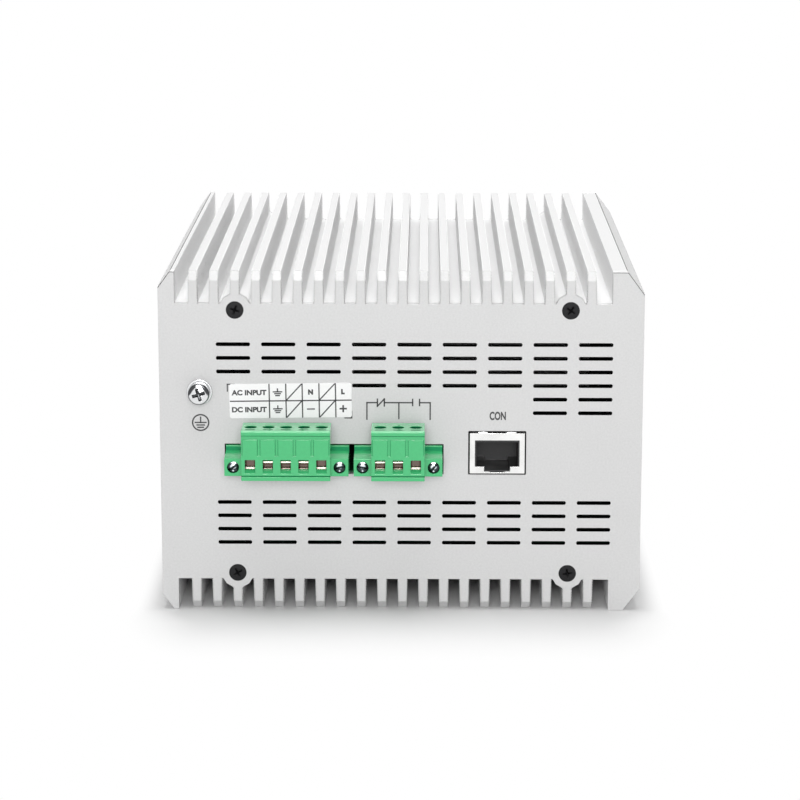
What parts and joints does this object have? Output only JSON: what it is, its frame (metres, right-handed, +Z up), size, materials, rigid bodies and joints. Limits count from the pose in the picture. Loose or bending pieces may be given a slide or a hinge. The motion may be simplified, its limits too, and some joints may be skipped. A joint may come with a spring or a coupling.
{
  "type": "industrial ethernet switch",
  "caption": "Finned aluminium network switch box with plug-in screw terminals, a console jack, an earth screw and vent slots on one end panel, and network ports on the other.",
  "frame": {"origin": "middle of the housing's footprint, on the resting plane of the lower fins", "axes": "+X across the housing, +Y from the terminal panel to the port panel, +Z up from the resting fins"},
  "size_m": [0.139, 0.1728, 0.1],
  "materials": {
    "housing": "satin silver-white coat",
    "panel": "fine matt silver-white coat",
    "black_screw": "black oxide",
    "zinc": "bright zinc",
    "green_plastic": "moulded, slightly glossy",
    "clamp_metal": "plain",
    "tin": "tinned sheet",
    "black_plastic": "moulded",
    "contact": "gold flash",
    "board": "lacquered",
    "heat_pad": "soft",
    "sleeve": "shrunk sleeve",
    "ferrite": "fired",
    "winding": "tape",
    "lens": "clear"
  },
  "bodies": {
    "root": {"top_cover": "housing", "base_cover": "housing", "rear_panel": "panel", "front_panel": "panel", "rear_panel_screws": "black_screw", "front_panel_screws": "black_screw", "ground_screw": "zinc", "ground_flat_washer": "zinc", "ground_spring_washer": "zinc", "ground_nut": "zinc", "power_plug_flange_screws": "zinc", "alarm_plug_flange_screws": "zinc", "power_plug_clamp_screws": "zinc", "alarm_plug_clamp_screws": "zinc", "power_plug": "green_plastic", "alarm_plug": "green_plastic", "power_header": "green_plastic", "alarm_header": "green_plastic", "power_plug_clamps": "clamp_metal", "alarm_plug_clamps": "clamp_metal", "power_header_pins": "tin", "alarm_header_pins": "tin", "console_jack_shield": "tin", "lan_jack_shield": "tin", "sfp_cage_1": "tin", "sfp_cage_2": "tin", "console_jack_insulator": "black_plastic", "lan_jack_insulator": "black_plastic", "sfp_connector_1": "black_plastic", "sfp_connector_2": "black_plastic", "alarm_relay": "black_plastic", "board_link": "black_plastic", "switch_chip": "black_plastic", "console_jack_contacts": "contact", "lan_jack_contacts": "contact", "main_board": "board", "power_board": "board", "chip_pad": "heat_pad", "bulk_capacitors": "sleeve", "transformer_core": "ferrite", "transformer_winding": "winding", "status_lenses": "lens"}
  },
  "joints": []
}
